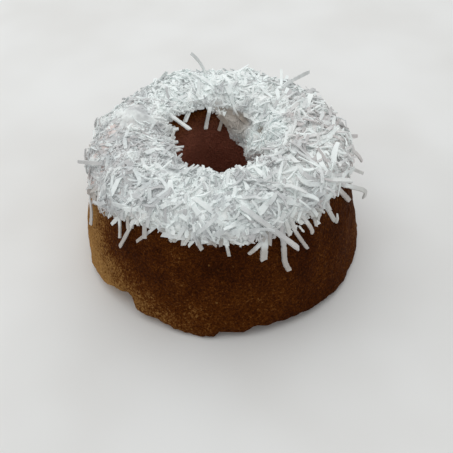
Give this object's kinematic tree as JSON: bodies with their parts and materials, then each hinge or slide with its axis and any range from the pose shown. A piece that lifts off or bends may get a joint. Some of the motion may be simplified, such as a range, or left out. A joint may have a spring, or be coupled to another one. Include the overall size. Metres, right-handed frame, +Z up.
{
  "type": "ring cake with grated coconut",
  "caption": "Round cassava cake baked in a tapered ring mould, open through the middle, with shredded coconut heaped over its crest.",
  "frame": {"origin": "on the axis of the hole, in the flat face the cake rests on", "axes": "+Z up along the axis of the hole, -Y towards the side seen in the picture, +X to its right"},
  "size_m": [0.1751, 0.1748, 0.0994],
  "materials": {
    "crust": "matt baked crust",
    "coconut": "moist satin shreds"
  },
  "bodies": {
    "root": {"cake": "crust", "coconut": "coconut"}
  },
  "joints": []
}
